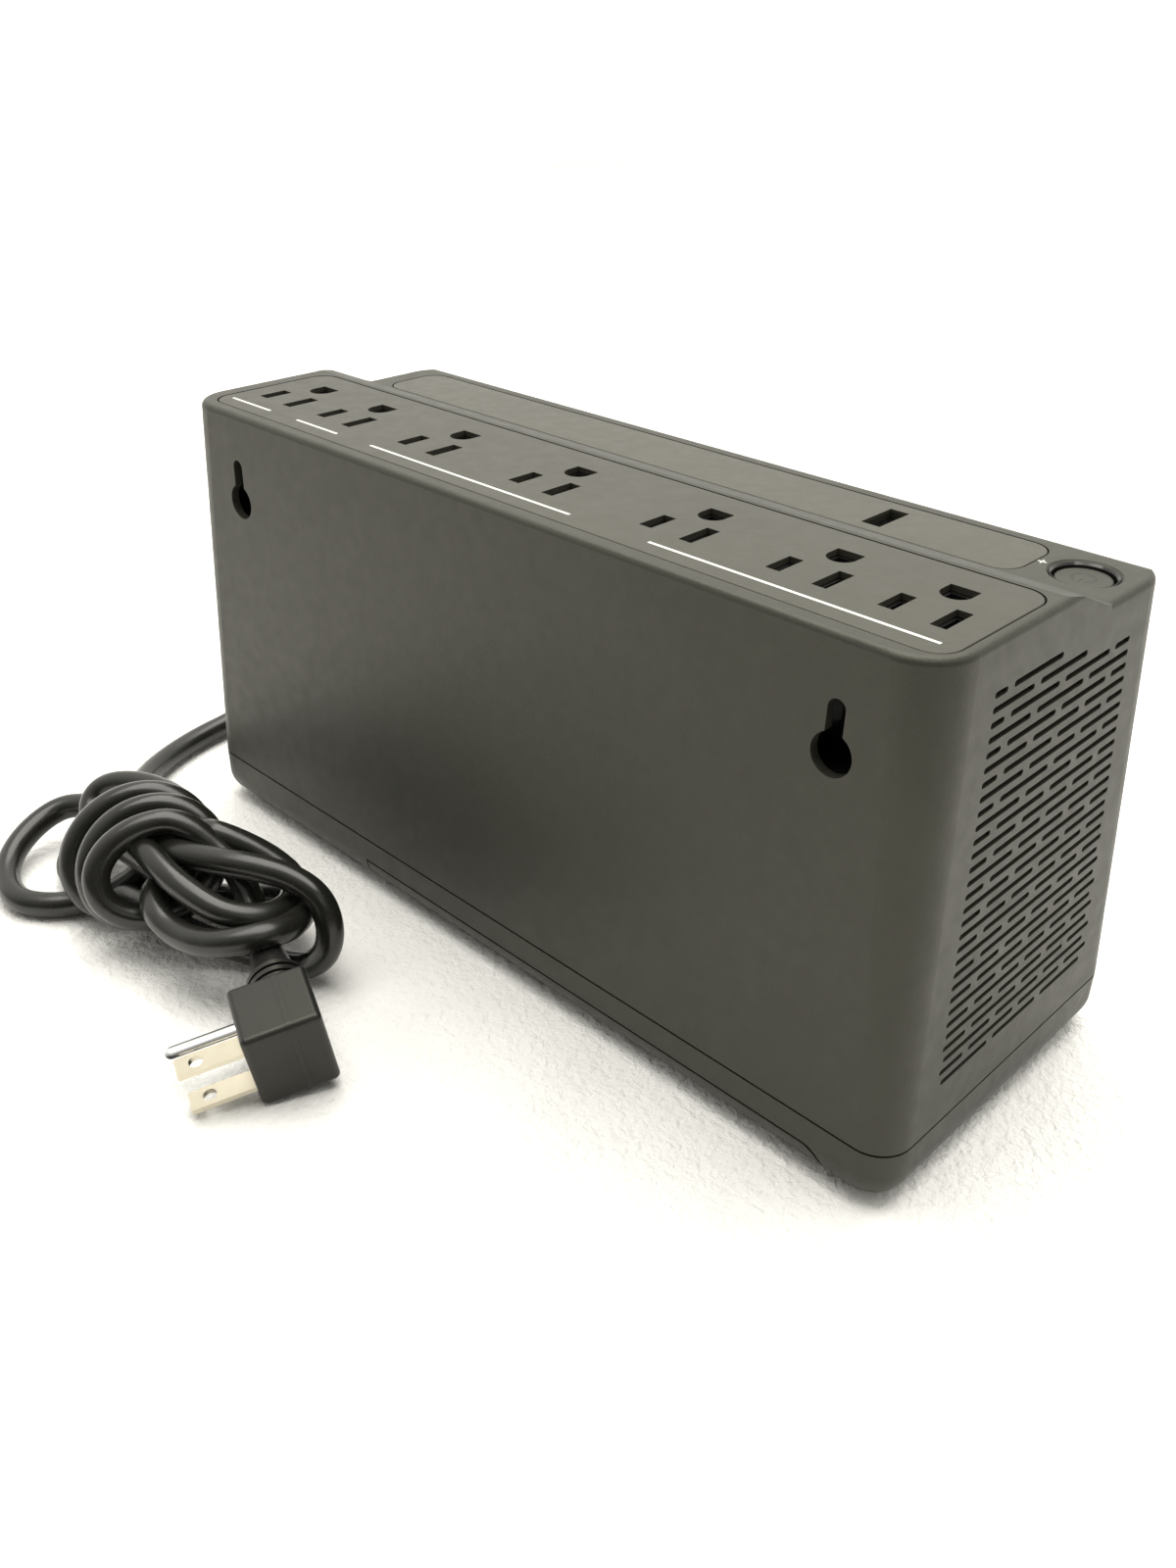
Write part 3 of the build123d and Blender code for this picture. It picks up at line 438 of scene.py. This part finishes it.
def inside_finishes():
    """The battery, the transformer, the board and its parts."""
    return {
        "component_black": textured_plastic("component_black", (0.02, 0.02, 0.02), 0.55),
        "circuit_board": glossy_plastic("circuit_board", (0.01, 0.10, 0.04), 0.35),
        "contact_brass": brushed_metal("contact_brass", (0.75, 0.55, 0.22), 0.3),
        "battery_case": textured_plastic("battery_case", (0.035, 0.035, 0.04), 0.45),
        "tinned_metal": brushed_metal("tinned_metal", (0.7, 0.7, 0.68), 0.3),
        "lead_red": glossy_plastic("lead_red", (0.45, 0.015, 0.01), 0.35),
        "lead_black": glossy_plastic("lead_black", BLACK, 0.35),
        "inner_plastic": textured_plastic("inner_plastic", (0.02, 0.02, 0.02), 0.5),
        "heatsink": brushed_metal("heatsink", (0.72, 0.72, 0.72), 0.4),
        "relay_plastic": glossy_plastic("relay_plastic", (0.01, 0.05, 0.22), 0.35),
        "capacitor_sleeve": glossy_plastic("capacitor_sleeve", (0.02, 0.02, 0.035), 0.2),
        "varistor_coat": glossy_plastic("varistor_coat", (0.02, 0.06, 0.35), 0.3),
        "choke_copper": brushed_metal("choke_copper", (0.6, 0.25, 0.1), 0.35),
        "core_steel": brushed_metal("core_steel", (0.25, 0.24, 0.23), 0.45, (2500.0, 30.0, 30.0)),
        "winding_copper": brushed_metal("winding_copper", (0.62, 0.27, 0.11), 0.3, (30.0, 30.0, 1500.0)),
        "bracket_steel": brushed_metal("bracket_steel", (0.6, 0.6, 0.6), 0.35),
    }


def cord_finishes():
    """The mains cord and its plug."""
    even = (90.0, 90.0, 90.0)
    return {
        "cord_black": glossy_plastic("cord_black", (0.011, 0.011, 0.009), 0.24),
        "plug_black": textured_plastic("plug_black", BLACK, 0.36, 0.00003, 0.36),
        "blade_nickel": brushed_metal("blade_nickel", (0.60, 0.55, 0.44), 0.22, even, 0.08),
        "pin_chrome": brushed_metal("pin_chrome", (0.8, 0.8, 0.8), 0.12, even, 0.08),
    }


def make_finishes():
    """One finish for each material slot of the record."""
    return {**outside_finishes(), **inside_finishes(), **cord_finishes()}


def assign_finishes(finishes):
    """Gives each CAD piece the finish of its slot."""
    for part in frame["record"]["subparts"]:
        mesh = nodes[part["node"]].data
        mesh.materials.clear()
        mesh.materials.append(finishes[part["material_slot"]].material)


# ---- cord ----------------------------------------------------------------------


def wrap_centre_and_size(turn):
    """Centre, half width and half height of the wraps, blended between turns."""
    first = min(int(turn), len(WRAP_TURNS) - 2)
    share = turn - first
    before, after = WRAP_TURNS[first], WRAP_TURNS[first + 1]
    centre = Vector(before[0]).lerp(Vector(after[0]), share)
    half_width = before[1] + (after[1] - before[1]) * share
    half_height = before[2] + (after[2] - before[2]) * share
    return centre, half_width, half_height


def wrap_points():
    """The turns that hold the hank together, from its back to its front."""
    count = round((WRAP_END_TURN - WRAP_START_TURN) * POINTS_PER_TURN)
    # The spline cuts the corners of its points, so they stand a little further out.
    outward = 1.0 / (0.75 + 0.25 * math.cos(2 * math.pi / POINTS_PER_TURN))
    points = []
    for index in range(count + 1):
        turn = WRAP_START_TURN + index / POINTS_PER_TURN
        centre, half_width, half_height = wrap_centre_and_size(turn)
        angle = 2 * math.pi * turn
        across = WRAP_SIDE * (half_width * math.cos(angle))
        up = WRAP_UP * (half_height * math.sin(angle))
        points.append(tuple(centre + (across + up) * outward))
    return points


def cord_points():
    """The whole route, from the case round the hank to the plug, in metres."""
    route = []
    for stretch in (
        TO_HANK,
        UPPER_STRAND,
        FRONT_LOOP,
        LEFT_LOOP,
        OUTER_LOOP,
        UNDER_STRAND,
        HIDDEN_FOLD,
        LOWER_STRAND,
        NEAR_LOOP,
        TO_WRAPS,
        wrap_points(),
        TO_PLUG,
    ):
        route.extend(stretch)
    return [Vector(point) * MM for point in route]


def cord_curve(points, material):
    """A round NURBS tube through the points of the route."""
    curve = bpy.data.curves.new("mains_cord", "CURVE")
    curve.dimensions = "3D"
    curve.bevel_depth = CORD_DIAMETER / 2 * MM
    curve.bevel_resolution = 8
    curve.resolution_u = 10
    curve.use_fill_caps = True
    spline = curve.splines.new("NURBS")
    spline.points.add(len(points) - 1)
    for target, point in zip(spline.points, points):
        target.co = (*point, 1.0)
    spline.order_u = 3
    spline.use_endpoint_u = True
    curve.materials.append(material)
    return curve


def make_cord(finishes):
    """The mains cord as a round tube along its route, in place of the CAD cord and hank."""
    points = cord_points()
    cord = bpy.data.objects.new("mains_cord", cord_curve(points, finishes["cord_black"].material))
    scene.collection.objects.link(cord)
    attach(cord, "unit")
    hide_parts("power_cord", "cord_hank")


# ---- light and floor -------------------------------------------------------------

LIGHT_COLOUR = (1.0, 0.98, 0.92)
SKY_COLOUR = (1.0, 0.985, 0.92, 1.0)
BRIGHT_SIDE = (0.62, -0.62, 0.48)
SKY_DIM = 0.05
SKY_BRIGHT = 1.3
FLOOR_REACH = 1.4


def area_light(name, place, target, size, power):
    """A soft rectangular light that faces a target."""
    data = bpy.data.lights.new(name, "AREA")
    data.shape = "RECTANGLE"
    data.size = size[0]
    data.size_y = size[1]
    data.energy = power
    data.color = LIGHT_COLOUR
    light = bpy.data.objects.new(name, data)
    light.location = place
    direction = Vector(target) - Vector(place)
    light.rotation_euler = direction.to_track_quat("-Z", "Y").to_euler()
    scene.collection.objects.link(light)


def make_world():
    """A studio that is white beyond the object and dim behind the camera."""
    world = bpy.data.worlds.new("studio")
    world.use_nodes = True
    tree = world.node_tree
    background = tree.nodes["Background"]
    place = tree.nodes.new("ShaderNodeTexCoord")
    toward = tree.nodes.new("ShaderNodeVectorMath")
    toward.operation = "DOT_PRODUCT"
    toward.inputs[1].default_value = BRIGHT_SIDE
    tree.links.new(place.outputs["Generated"], toward.inputs[0])
    level = tree.nodes.new("ShaderNodeMapRange")
    level.inputs["From Min"].default_value = -0.5
    level.inputs["From Max"].default_value = 0.5
    level.inputs["To Min"].default_value = SKY_DIM
    level.inputs["To Max"].default_value = SKY_BRIGHT
    tree.links.new(toward.outputs["Value"], level.inputs["Value"])
    tree.links.new(level.outputs["Result"], background.inputs["Strength"])
    background.inputs["Color"].default_value = SKY_COLOUR
    scene.world = world


def make_floor():
    """A plain sheet of foam under the object."""
    mesh = bpy.data.meshes.new("floor")
    reach = FLOOR_REACH
    corners = [(-reach, -reach, 0), (reach, -reach, 0), (reach, reach, 0), (-reach, reach, 0)]
    mesh.from_pydata(corners, [], [(0, 1, 2, 3)])
    mesh.materials.append(floor_finish().material)
    floor = bpy.data.objects.new("floor", mesh)
    scene.collection.objects.link(floor)


def make_lights():
    """One large soft light overhead and a weak one off the vented end."""
    area_light("overhead", (0.1, -0.2, 1.5), (0.0, 0.0, 0.0), (1.6, 1.6), 38.0)
    area_light("key", (-1.2, 0.5, 0.9), (0.0, 0.0, 0.05), (0.5, 0.5), 0.8)


make_camera()
all_finishes = make_finishes()
assign_finishes(all_finishes)
make_cord(all_finishes)
make_floor()
make_world()
make_lights()
scene.view_settings.view_transform = "Standard"
